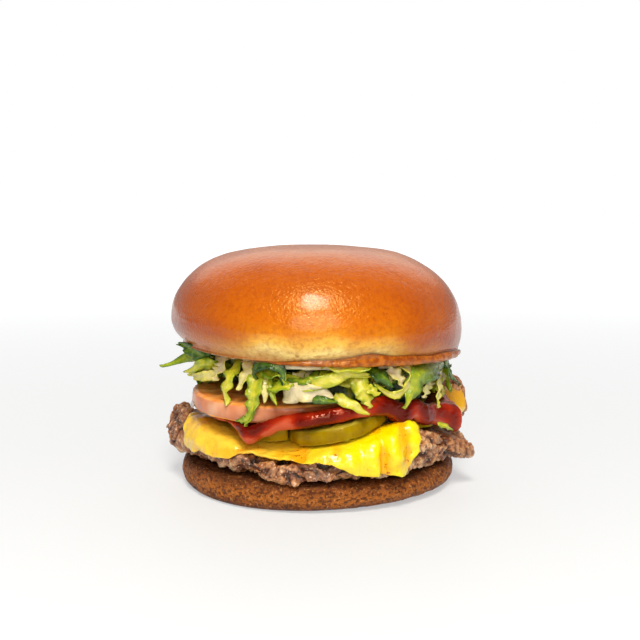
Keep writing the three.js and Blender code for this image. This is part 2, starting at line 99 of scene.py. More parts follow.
def meshOf(form, name):
    mesh = bpy.data.meshes.new(name)
    form.to_mesh(mesh)
    form.free()
    return mesh


# A solid's loose triangles, welded into one surface and paired into quads.
def weldedCopy(node):
    form = bmesh.new()
    form.from_mesh(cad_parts[node].data)
    bmesh.ops.remove_doubles(form, verts=form.verts, dist=0.003 * mm)
    bmesh.ops.join_triangles(form, faces=form.faces, angle_face_threshold=0.7, angle_shape_threshold=0.9)
    mesh = meshOf(form, node)
    for extra in [a.name for a in mesh.attributes if a.name == "custom_normal"]:
        mesh.attributes.remove(mesh.attributes[extra])
    return mesh


# The mesh with modifiers applied, each given as its kind and its settings.
def shaped(mesh, *modifiers):
    carrier = bpy.data.objects.new("carrier", mesh)
    scene.collection.objects.link(carrier)
    for kind, settings in modifiers:
        modifier = carrier.modifiers.new(kind, kind)
        for key, value in settings.items():
            setattr(modifier, key, value)
    result = bpy.data.meshes.new_from_object(carrier.evaluated_get(bpy.context.evaluated_depsgraph_get()))
    bpy.data.objects.remove(carrier)
    return result


def subdivision(levels):
    return "SUBSURF", {"levels": levels, "render_levels": levels}


def remesh(size):
    return "REMESH", {"mode": "VOXEL", "voxel_size": size * mm}


def smoothing(rounds):
    return "SMOOTH", {"factor": 0.5, "iterations": rounds}


# Moves every vertex: change(place, normal) returns its new place in millimetres and a number kept as "relief".
def sculpt(mesh, change):
    count = len(mesh.vertices)
    places = np.empty(count * 3, np.float32)
    normals = np.empty(count * 3, np.float32)
    mesh.vertices.foreach_get("co", places)
    mesh.vertex_normals.foreach_get("vector", normals)
    places = places.reshape(-1, 3) / mm
    normals = normals.reshape(-1, 3)
    relief = np.empty(count, np.float32)
    for i in range(count):
        places[i], relief[i] = change(Vector(places[i]), Vector(normals[i]))
    mesh.vertices.foreach_set("co", (places * mm).ravel())
    layer = mesh.attributes.get("relief") or mesh.attributes.new("relief", "FLOAT", "POINT")
    layer.data.foreach_set("value", relief)
    mesh.update()
    return mesh


def wave(place, size, seed=0.0):
    return noise.noise(place / size + Vector((seed, seed * 1.7, seed * 0.6)))


# Rounded grains: 1 in the middle of each, and about 0 between them.
def grains(place, size, seed=0.0):
    nearest = noise.voronoi(place / size + Vector((seed, seed, seed)))[0][0]
    return 1 - 1.8 * nearest * nearest


def clamp(value, low=0.0, high=1.0):
    return max(low, min(high, value))


def fade(value, start, end):
    share = clamp((value - start) / (end - start))
    return share * share * (3 - 2 * share)


def ringAngle(place):
    return math.degrees(math.atan2(place.y, place.x)) % 360


def fromAxis(place):
    return math.hypot(place.x, place.y)


def outwardFrom(place):
    return Vector((place.x, place.y, 0)).normalized()


# A swelling round the ring: 1 at the angle `at`, close to 0 two widths away.
def hump(angle, at, width):
    away = (angle - at + 180) % 360 - 180
    return math.exp(-((away / width) ** 2))


# The sum of swellings, each given as its angle, its width and its size.
def humps(angle, swellings):
    return sum(by * hump(angle, at, width) for at, width, by in swellings)


# Helpers for materials.


def rgb(*levels):
    linear = [c / 12.92 if c <= 0.04045 else ((c + 0.055) / 1.055) ** 2.4 for c in (level / 255 for level in levels)]
    return (*linear, 1)


def newMaterial(name, **sockets):
    material = bpy.data.materials.new(name)
    material.use_nodes = True
    shader = material.node_tree.nodes["Principled BSDF"]
    for socket, value in sockets.items():
        shader.inputs[socket.replace("_", " ")].default_value = value
    return material


def add(material, kind, inputs, **settings):
    made = material.node_tree.nodes.new("ShaderNode" + kind)
    for key, value in settings.items():
        setattr(made, key, value)
    for key, value in inputs.items():
        if isinstance(value, bpy.types.NodeSocket):
            material.node_tree.links.new(value, made.inputs[key])
        else:
            made.inputs[key].default_value = value
    return made


def attribute(material, name):
    return add(material, "Attribute", {}, attribute_name=name).outputs["Fac"]


# A cloudy pattern with marks about `size` millimetres across, from 0 to 1.
def clouds(material, size, detail=3, stretch=(1, 1, 1)):
    place = add(material, "TexCoord", {}).outputs["Object"]
    mapped = add(material, "Mapping", {"Vector": place, "Scale": stretch}).outputs[0]
    return add(material, "TexNoise", {"Vector": mapped, "Scale": 1 / (size * mm), "Detail": detail}).outputs[0]


# The height over a plane in millimetres. The plane may slope along X.
def heightOver(material, level, slope=0.0):
    place = add(material, "TexCoord", {}).outputs["Object"]
    tilted = (slope / mm, 0, 1 / mm)
    along = add(material, "VectorMath", {0: place, 1: tilted}, operation="DOT_PRODUCT").outputs["Value"]
    return arithmetic(material, "SUBTRACT", along, level)


# How far a point is along one axis, in metres.
def axis(material, name):
    place = add(material, "TexCoord", {}).outputs["Object"]
    return add(material, "SeparateXYZ", {0: place}).outputs[name]


def arithmetic(material, operation, first, second):
    return add(material, "Math", {0: first, 1: second}, operation=operation).outputs[0]


def times(material, first, second):
    return arithmetic(material, "MULTIPLY", first, second)


# Clouds about 0 that could span `span` in all.
def unevenness(material, size, detail, span):
    return times(material, arithmetic(material, "SUBTRACT", clouds(material, size, detail), 0.5), span)


# `share` rises from 0 to 1 as the value goes from start to end.
def rising(material, value, start, end):
    inputs = {"Value": value, "From Min": start, "From Max": end}
    return add(material, "MapRange", inputs, interpolation_type="SMOOTHSTEP").outputs[0]


def mixed(material, share, first, second, blend="MIX"):
    mixer = add(material, "Mix", {0: share, 6: first, 7: second}, data_type="RGBA", blend_type=blend)
    return mixer.outputs[2]


# The colour with a stain over it where the mask is high. `most` is the stain's share where the mask is 1.
def stained(material, colour, mask, most, stain):
    return mixed(material, times(material, mask, most), colour, stain)


# Colours at places from 0 to 1 along a value.
def ramp(material, value, *stops):
    made = add(material, "ValToRGB", {"Fac": value})
    elements = made.color_ramp.elements
    for i, (place, colour) in enumerate(stops):
        element = elements[i] if i < 2 else elements.new(place)
        element.position = place
        element.color = colour
    return made.outputs["Color"]


def bump(material, height, depth, under=None):
    inputs = {"Height": height, "Distance": depth * mm, "Strength": 1}
    if under:
        inputs["Normal"] = under
    return add(material, "Bump", inputs).outputs[0]


def finish(material, **sources):
    shader = material.node_tree.nodes["Principled BSDF"]
    for socket, source in sources.items():
        material.node_tree.links.new(source, shader.inputs[socket.replace("_", " ")])
    return material


# The crown of the bun.

crown = {"cutLevel": 50.4, "tilt": 2.3, "height": 38, "lip": 0.5}
# Where the toasted lip round the cut is deeper: angle, width and depth.
lipDepth = [
    (272, 14, 1.6), (290, 11, 3.6), (307, 12, 2.0), (331, 20, 2.8), (60, 30, 1.6), (130, 30, 1.0), (215, 26, -1.2),
]


def crownMaterial():
    material = newMaterial(
        "glazedCrust", Roughness=0.28, Coat_Weight=0.38, Coat_Roughness=0.16, Specular_IOR_Level=0.6,
        Specular_Tint=rgb(255, 220, 135),
    )
    height = heightOver(material, crown["cutLevel"], math.tan(math.radians(crown["tilt"])))
    uneven = unevenness(material, 14, 3, 9)
    across = axis(material, "X")
    # Painted shade at the sides: this mask rises towards the left and right, narrows the pale band there and darkens
    # the lower crust.
    aside = rising(material, arithmetic(material, "ABSOLUTE", across, 0), 0.012, 0.046)
    baked = arithmetic(material, "DIVIDE", arithmetic(material, "ADD", height, uneven), crown["height"])
    baked = arithmetic(material, "ADD", baked, times(material, aside, 0.07))
    # Colours up the crown: a pale band low down, partly paler crust and partly painted light bounced up from the
    # floor; deep orange above; a little paler at the top, a painted reflection.
    crust = ramp(
        material, baked,
        (0.0, rgb(196, 130, 62)), (0.1, rgb(255, 228, 142)), (0.18, rgb(244, 190, 78)), (0.28, rgb(214, 124, 6)),
        (0.42, rgb(206, 104, 0)), (0.66, rgb(190, 88, 0)), (0.86, rgb(196, 96, 18)), (1.0, rgb(200, 112, 44)),
    )
    # Painted shade: the low crust at the sides, the lower sides and most of all the far left and right edges are
    # darkened.
    low = rising(material, height, 16, 8)
    crust = mixed(material, times(material, aside, low), crust, rgb(205, 136, 84), "MULTIPLY")
    rim = rising(material, arithmetic(material, "ABSOLUTE", across, 0), 0.04, 0.056)
    lower = times(material, aside, rising(material, height, 28, 16))
    crust = mixed(material, lower, crust, rgb(234, 222, 196), "MULTIPLY")
    crust = mixed(material, rim, crust, rgb(222, 208, 190), "MULTIPLY")
    dark = rising(material, clouds(material, 16, 3), 0.46, 0.68)
    crust = stained(material, crust, dark, 0.45, rgb(176, 76, 0))
    mottle = rising(material, clouds(material, 1.6, 5), 0.42, 0.72)
    crust = stained(material, crust, mottle, 0.4, rgb(158, 58, 4))
    marks = rising(material, clouds(material, 2.4, 4, (1, 1, 0.35)), 0.6, 0.74)
    lowMarks = times(material, marks, rising(material, height, 7, 2.5))
    crust = stained(material, crust, lowMarks, 0.75, rgb(150, 84, 30))
    toasting = rising(material, clouds(material, 1.8, 4), 0.36, 0.66)
    toast = mixed(material, toasting, rgb(144, 62, 6), rgb(192, 104, 18))
    toast = mixed(material, rising(material, attribute(material, "edge"), 0.3, 0.9), toast, rgb(92, 34, 8))
    colour = mixed(material, attribute(material, "relief"), crust, toast)
    peel = bump(material, clouds(material, 0.9, 2), 0.3)
    wrinkles = bump(material, clouds(material, 3.2, 3, (1, 1, 2)), 0.3, peel)
    return finish(material, Base_Color=colour, Normal=wrinkles)


def makeCrown():
    slope = math.tan(math.radians(crown["tilt"]))
    edges = []

    def crust(place, normal):
        height = place.z + slope * place.x - crown["cutLevel"]
        lip = crown["lip"] + humps(ringAngle(place), lipDepth)
        edge = lip + 0.4 * wave(place, 7) + 0.12 * wave(place, 1.6, 3)
        toasted = 1 - fade(height, edge - 0.2, edge + 0.2)
        outer = fade(fromAxis(place), 40, 48)
        groove = hump(height, edge, 0.35) * outer
        edges.append(groove)
        rough = toasted * (0.5 + 0.12 * wave(place, 1.3) + 0.3 * wave(place, 4, 5)) - 0.55 * groove
        soft = 0.4 * wave(place, 17) + 0.07 * wave(place, 3)
        return place + normal * (soft * (1 - toasted) + rough * outer), toasted

    mesh = sculpt(shaped(weldedCopy("crown"), subdivision(smoothLevels)), crust)
    mesh.attributes.new("edge", "FLOAT", "POINT").data.foreach_set("value", edges)
    newPiece("crown_bun", mesh, crownMaterial(), "crown_bun", "crown")


makeCrown()

# The heel of the bun.

heel = {"height": 10.3}


def heelMaterial():
    material = newMaterial("breadCrust", Roughness=0.55, Specular_IOR_Level=0.25)
    height = arithmetic(material, "DIVIDE", heightOver(material, 0), heel["height"])
    uneven = unevenness(material, 5, 4, 0.5)
    # Darker towards the bottom and at the top; the dark top is partly a toasted edge and partly painted shade under
    # the patty.
    crust = ramp(
        material, arithmetic(material, "ADD", height, uneven),
        (0.0, rgb(52, 22, 8)), (0.14, rgb(120, 62, 20)), (0.42, rgb(182, 104, 34)), (0.72, rgb(148, 80, 26)),
        (1.0, rgb(78, 42, 22)),
    )
    pores = rising(material, clouds(material, 1.3, 6, (1, 1, 1.3)), 0.47, 0.6)
    colour = mixed(material, times(material, pores, 0.85), crust, rgb(84, 38, 10))
    glints = rising(material, clouds(material, 0.9, 3), 0.57, 0.68)
    colour = stained(material, colour, glints, 0.5, rgb(218, 152, 86))
    coarse = bump(material, clouds(material, 1.3, 6, (1, 1, 1.3)), 1.6)
    return finish(material, Base_Color=colour, Normal=bump(material, clouds(material, 0.7, 3), 0.2, coarse))


def makeHeel():
    def crust(place, normal):
        low = fade(place.z, 0.3, 2)
        rough = 0.35 * wave(place, 3.1) + 0.22 * wave(place, 1.4, 2) - 0.35 * fade(-wave(place, 2.2, 7), 0.2, 0.5)
        return place + normal * rough * low, 0

    mesh = shaped(weldedCopy("heel"), subdivision(smoothLevels))
    newPiece("heel_bun", sculpt(mesh, crust), heelMaterial(), "heel_bun", "heel")


makeHeel()

# The patty.

patty = {"grid": 0.92, "shownFrom": 43, "lump": 9, "grain": 2.5, "crumb": 1.1}
# Where the rim of the meat is higher: angle, width and height.
pattyRises = [(203, 9, 1.8), (25, 8, 4.0)]


def pattyMaterial():
    material = newMaterial("griddledBeef", Roughness=0.3, Specular_IOR_Level=0.6)
    # Near black at low relief and pale at high: painted shade in the pits, clefts and gaps between crumbs.
    meat = ramp(
        material, attribute(material, "relief"),
        (0.0, rgb(24, 8, 4)), (0.22, rgb(82, 40, 16)), (0.45, rgb(158, 94, 48)), (0.7, rgb(208, 146, 92)),
        (1.0, rgb(238, 204, 158)),
    )
    grey = rising(material, clouds(material, 8, 3), 0.48, 0.66)
    meat = stained(material, meat, grey, 0.4, rgb(150, 122, 104))
    brown = rising(material, clouds(material, 2.1, 4), 0.45, 0.62)
    meat = stained(material, meat, brown, 0.45, rgb(116, 56, 26))
    seared = rising(material, clouds(material, 1.3, 5), 0.56, 0.68)
    meat = stained(material, meat, seared, 0.7, rgb(62, 26, 10))
    glints = rising(material, clouds(material, 0.8, 3), 0.6, 0.67)
    meat = stained(material, meat, glints, 0.7, rgb(244, 212, 180))
    return finish(material, Base_Color=meat, Normal=bump(material, clouds(material, 0.7, 4), 0.5))


# Splits the faces where the meat shows, so that its crumbs are fine there and the hidden faces stay few.
def finerMeat(mesh):
    form = bmesh.new()
    form.from_mesh(mesh)
    shown = [e for e in form.edges if min(fromAxis(v.co / mm) for v in e.verts) > patty["shownFrom"]]
    bmesh.ops.subdivide_edges(form, edges=shown, cuts=1, use_grid_fill=True)
    return meshOf(form, "meat")


def makePatty():
    def meat(place, normal):
        side = fade(fromAxis(place), 42, 47)
        lumps = wave(place, patty["lump"]) + 0.6 * wave(place, 4.2, 4)
        warped = place + Vector((wave(place, 2.5, 1), wave(place, 2.5, 2), wave(place, 2.5, 3))) * 1.5
        coarse = grains(warped, patty["grain"])
        fine = grains(warped, patty["crumb"], 3)
        pits = fade(-wave(place, 4.2, 9), 0.25, 0.55)
        clefts = math.exp(-((wave(place, 7, 12) / 0.07) ** 2))
        angle = ringAngle(place)
        raised = humps(angle, pattyRises) * fade(place.z, 22, 27)
        height = 2.0 * lumps + 0.62 * coarse + 0.3 * fine - 1.6 * pits - 1.1 * clefts
        fat = 0.45 * fade(-normal.z, 0.15, 0.7) * fade(wave(place, 6, 15), -0.1, 0.2)
        crumbs = (0.3 * coarse + 0.36 * fine) * (1 - fat)
        warmer = 0.22 * hump(angle, 316, 12)
        # The relief is high on lumps and crumbs and low in pits and clefts, which the colour darkens as painted
        # shade.
        relief = clamp(0.2 + crumbs + 0.24 * lumps - 0.7 * pits - 0.35 * clefts + fat + warmer)
        return place + normal * side * (height - 0.5) + up * raised * fade(fromAxis(place), 46, 52), relief

    mesh = shaped(finerMeat(shaped(weldedCopy("patty"), remesh(patty["grid"]))), smoothing(3))
    newPiece("beef_patty", sculpt(mesh, meat), pattyMaterial(), "beef", "patty")


makePatty()

# The cheese slice.

cheese = {
    "foldAt": 294, "foldWidth": 3.2, "foldDepth": 2.4, "creaseWidth": 1.6, "ridgeAside": 4,
    "cornerAt": 306, "cornerWidth": 6, "cornerShift": 2.4, "cornerJags": 1.6, "cornerRise": 2.2,
}
# Ridges and hollows down the hanging edge: angle, width and depth.
cheeseRuns = [(282, 2.6, 1.1), (276, 2, -0.7), (302.5, 1.6, -0.8), (305.5, 2, 0.7), (268, 3, 0.6), (262, 3, -0.7)]


def cheeseMaterial():
    material = newMaterial(
        "meltedCheese", Roughness=0.21, Specular_IOR_Level=0.6, Subsurface_Weight=0.2,
        Subsurface_Scale=1.0, Subsurface_Radius=(0.004, 0.0022, 0.0006),
    )
    across = axis(material, "X")
    uneven = unevenness(material, 12, 2, 0.06)
    tone = rising(material, arithmetic(material, "ADD", across, uneven), -0.03, 0.02)
    colour = mixed(material, tone, rgb(253, 204, 62), rgb(255, 224, 0))
    back = axis(material, "Y")
    underside = rising(material, heightOver(material, 22), 2.5, 0)
    tongue = mixed(material, underside, rgb(244, 172, 30), rgb(236, 214, 160))
    colour = mixed(material, rising(material, back, -0.01, 0.02), colour, tongue)
    # Painted shade: orange where the surface is pushed in and in the fold's crease, with dark specks added only
    # there.
    hollows = rising(material, attribute(material, "relief"), 0.55, 0.05)
    colour = stained(material, colour, hollows, 0.7, rgb(246, 158, 6))
    specks = rising(material, clouds(material, 1.1, 3), 0.6, 0.68)
    inFold = times(material, specks, times(material, hollows, 0.9))
    colour = mixed(material, inFold, colour, rgb(150, 72, 8))
    normal = bump(material, clouds(material, 4, 2), 0.9)
    return finish(material, Base_Color=colour, Normal=normal)


def makeCheese():
    def melt(place, normal):
        angle = ringAngle(place)
        hang = fade(fromAxis(place), 44, 50)
        crease = hump(angle, cheese["foldAt"], cheese["creaseWidth"])
        fold = cheese["foldDepth"] * (
            hump(angle, cheese["foldAt"] + cheese["ridgeAside"], cheese["foldWidth"])
            - 0.9 * crease
            + 0.7 * hump(angle, cheese["foldAt"] - cheese["ridgeAside"], cheese["foldWidth"])
        )
        outward = outwardFrom(place)
        soft = 1.1 * max(wave(place, 7), -0.3) + 0.5 * wave(place, 4.2)
        soft += humps(angle, cheeseRuns)
        corner = hump(angle, cheese["cornerAt"], cheese["cornerWidth"])
        shift = cheese["cornerShift"] + cheese["cornerJags"] * wave(place, 2.4, 8)
        peak = Vector((-place.y, place.x, 0)).normalized() * shift * corner
        peak += up * cheese["cornerRise"] * corner * fade(place.z, 22, 27)
        ragged = 0.9 * wave(place, 4, 2) + 0.4 * wave(place, 1.8, 5)
        sagging = fade(place.z, 25, 17)
        place = place + outward * hang * (fold * fade(place.z, 29, 25) + soft) + up * ragged * hang * sagging
        # The relief is low in the hollows and the crease, where the colour takes painted shade.
        return place + peak * hang, clamp(0.5 + 0.5 * soft - 0.6 * crease)

    mesh = shaped(weldedCopy("cheese"), subdivision(smoothLevels))
    newPiece("cheese_slice", sculpt(mesh, melt), cheeseMaterial(), "cheese", "cheese")


makeCheese()

# The pickle chips.

pickle = {"grid": 0.5}


def pickleMaterial():
    material = newMaterial(
        "pickledCucumber", Roughness=0.25, Specular_IOR_Level=0.3, Specular_Tint=rgb(255, 240, 150),
        Subsurface_Weight=0.1, Subsurface_Scale=1.0, Subsurface_Radius=(0.002, 0.002, 0.0008),
    )
    skin = ramp(
        material, clouds(material, 6, 3, (1, 1, 0.5)),
        (0.25, rgb(112, 86, 0)), (0.5, rgb(146, 116, 0)), (0.75, rgb(162, 136, 0)),
    )
    flesh = ramp(material, clouds(material, 4, 3), (0.3, rgb(140, 124, 20)), (0.7, rgb(176, 160, 50)))
    colour = mixed(material, attribute(material, "relief"), flesh, skin)
    specks = rising(material, clouds(material, 1.2, 2), 0.66, 0.74)
    colour = stained(material, colour, specks, 0.55, rgb(70, 66, 12))
    normal = bump(material, clouds(material, 2.4, 3), 0.3)
    return finish(material, Base_Color=colour, Normal=normal)


def makePickles():
    material = pickleMaterial()

    def chip(place, normal):
        side = 1 - fade(abs(normal.z), 0.45, 0.8)
        ridge = side * (0.25 * wave(place, 4.5) + 0.12 * wave(place, 1.7, 3))
        seeds = (1 - side) * 0.35 * fade(wave(place, 2.6, 6), 0.1, 0.5)
        return place + normal * (ridge + seeds - 0.1), side

    for node in [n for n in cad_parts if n.startswith("pickle_")]:
        mesh = shaped(weldedCopy(node), remesh(pickle["grid"]), smoothing(4))
        newPiece(node.replace("pickle", "pickle_chip"), sculpt(mesh, chip), material, "pickle", node)


makePickles()

# The tomato slices.

tomato = {"grid": 0.6, "leftward": 1.2}


def tomatoMaterial():
    material = newMaterial(
        "cutTomato", Roughness=0.25, Specular_IOR_Level=0.35, Subsurface_Weight=0.15,
        Subsurface_Scale=1.0, Subsurface_Radius=(0.004, 0.0012, 0.0007),
    )
    skin = ramp(
        material, clouds(material, 8, 2),
        (0.3, rgb(198, 112, 74)), (0.55, rgb(216, 144, 104)), (0.8, rgb(230, 178, 142)),
    )
    flesh = ramp(
        material, clouds(material, 5, 3),
        (0.3, rgb(236, 130, 50)), (0.55, rgb(248, 164, 84)), (0.8, rgb(250, 188, 116)),
    )
    # The skin is darker red-brown at the front right.
    sauced = rising(material, axis(material, "X"), -0.024, -0.014)
    sauced = times(material, sauced, rising(material, axis(material, "Y"), -0.02, -0.03))
    skin = stained(material, skin, sauced, 0.9, rgb(150, 66, 22))
    colour = mixed(material, attribute(material, "relief"), flesh, skin)
    return finish(material, Base_Color=colour, Normal=bump(material, clouds(material, 1.6, 3), 0.12))


def makeTomatoes():
    material = tomatoMaterial()

    def cut(place, normal):
        side = 1 - fade(abs(normal.z), 0.45, 0.8)
        wet = (1 - side) * 0.3 * wave(place, 3.2) + side * 0.12 * wave(place, 6, 2)
        leftward = tomato["leftward"] * fade(-place.x, 20, 44) * fade(-place.y, -6, 6)
        return place + normal * wet + Vector((-leftward, 0, leftward / 2)), side

    for node in ("tomato_front", "tomato_back"):
        mesh = shaped(weldedCopy(node), remesh(tomato["grid"]), smoothing(5))
        newPiece(node.replace("tomato", "tomato_slice"), sculpt(mesh, cut), material, "tomato", node)


makeTomatoes()

# The onion strip.

onion = {
    "leaning": 1.8, "thinner": 0.6, "middle": Vector((-46, -16.2, 32)), "halfLength": 11.4,
    "shift": Vector((-0.5, 2, 1.2)),
}


def onionMaterial():
    material = newMaterial(
        "rawOnion", Roughness=0.2, Subsurface_Weight=0.2, Subsurface_Scale=1.0,
        Subsurface_Radius=(0.003, 0.003, 0.002),
    )
    lengthwise = (1, 0.12, 1)
    streaks = clouds(material, 1.2, 2, lengthwise)
    colour = ramp(material, streaks, (0.3, rgb(150, 122, 112)), (0.65, rgb(212, 198, 182)))
    return finish(material, Base_Color=colour, Normal=bump(material, clouds(material, 1, 2, lengthwise), 0.15))


def makeOnion():
    def sliver(place, normal):
        lean = onion["leaning"] * fade(place.z, 26, 37)
        ends = (place.y - onion["middle"].y) / onion["halfLength"]
        taper = 0.3 + 0.7 * math.sqrt(max(1 - ends * ends, 0))
        slim = onion["middle"] + (place - onion["middle"]) * taper
        slim.y = place.y
        return slim + onion["shift"] + Vector((lean, 0, 0)) - normal * onion["thinner"] * taper, 0

    mesh = shaped(weldedCopy("onion"), subdivision(smoothLevels))
    newPiece("onion_strip", sculpt(mesh, sliver), onionMaterial(), "onion", "onion")


makeOnion()

# The ketchup.

ketchup = {"grid": 0.55}
# Where the edge of the sauce sags or lifts: angle, width and height.
sauceWaves = [
    (205, 7, 1.2), (227, 4, 0.6), (237, 2.5, -0.8), (242, 3, -1.6), (248, 4, -1.8),
    (299, 4, 1.2), (308, 5, -2.0), (322, 7, -2.8), (344, 8, -1.2), (20, 8, -1.6),
    (48, 7, 1.2), (70, 9, -1.8), (100, 8, 1.0), (130, 9, -1.6), (165, 8, -1.4),
]
# Where its top stands higher: angle, width and height.
sauceCrests = [(300, 7, 2.6), (316, 5, 1.0), (336, 8, 1.4)]
# Where it runs further out: angle, width and distance.
sauceRuns = [(205, 6, 3.2), (214, 6, 2.0), (223, 6, 1.6)]


def ketchupMaterial():
    material = newMaterial("ketchup", Roughness=0.09, Specular_IOR_Level=0.4, Specular_Tint=rgb(255, 190, 160))
    # Deep red to pink with the relief; the pink end is partly painted reflection of the floor.
    colour = ramp(
        material, attribute(material, "relief"),
        (0.2, rgb(90, 8, 2)), (0.5, rgb(128, 20, 6)), (0.75, rgb(168, 40, 10)), (1.0, rgb(196, 84, 54)),
    )
    return finish(material, Base_Color=colour, Normal=bump(material, clouds(material, 2.4, 2, (1, 1, 1.5)), 0.4))


def makeKetchup():
    def sauce(place, normal):
        angle = ringAngle(place)
        edge = fade(fromAxis(place), 42, 48)
        waves = humps(angle, sauceWaves)
        soft = 0.35 * wave(place, 5) * edge
        # Painted reflection of the white floor: sauce facing down is lighter and pinker, most of all at the left lobe
        # and on the right. The outer edge is lighter too.
        under = fade(-normal.z, -0.1, 0.5) * (0.25 + 0.4 * hump(angle, 243, 14) + 0.3 * hump(angle, 335, 14))
        thin = clamp(edge * (0.46 + 0.9 * wave(place, 6, 4)) + under)
        top = fade(normal.z, -0.3, 0.5)
        sagging = fade(fromAxis(place), 40, 46) * (1 - 0.75 * top)
        crest = top * humps(angle, sauceCrests)
        outward = outwardFrom(place) * edge
        outward *= humps(angle, sauceRuns)
        return place + normal * soft + up * (waves * sagging + crest * edge) + outward, thin

    mesh = shaped(weldedCopy("ketchup"), remesh(ketchup["grid"]), smoothing(4))
    newPiece("ketchup_pool", sculpt(mesh, sauce), ketchupMaterial(), "ketchup", "ketchup")


makeKetchup()

# The mayonnaise.

mayonnaise = {"grid": 0.7}


def mayonnaiseMaterial():
    material = newMaterial(
        "mayonnaise", Roughness=0.2, Specular_IOR_Level=0.4, Subsurface_Weight=0.2, Subsurface_Scale=1.0,
        Subsurface_Radius=(0.004, 0.003, 0.0015),
    )
    colour = ramp(material, clouds(material, 9, 2), (0.3, rgb(236, 212, 160)), (0.7, rgb(246, 232, 196)))
    return finish(material, Base_Color=colour, Normal=bump(material, clouds(material, 4, 2), 0.3))


def makeMayonnaise():
    def sauce(place, normal):
        edge = fade(fromAxis(place), 38, 44)
        return place + normal * edge * (0.5 * wave(place, 6) + 0.2 * wave(place, 2.5, 3)), edge

    mesh = shaped(weldedCopy("mayonnaise"), remesh(mayonnaise["grid"]), smoothing(3))
    newPiece("mayonnaise_layer", sculpt(mesh, sauce), mayonnaiseMaterial(), "mayonnaise", "mayonnaise")


makeMayonnaise()

# The shredded lettuce.

lettuce = {
    "coreReach": 39, "frontReach": 20, "grid": 0.9, "thickness": 0.35, "looseShreds": 230, "seed": 7,
    "frontFrom": 190, "frontTo": 338, "rootReach": 34,
}

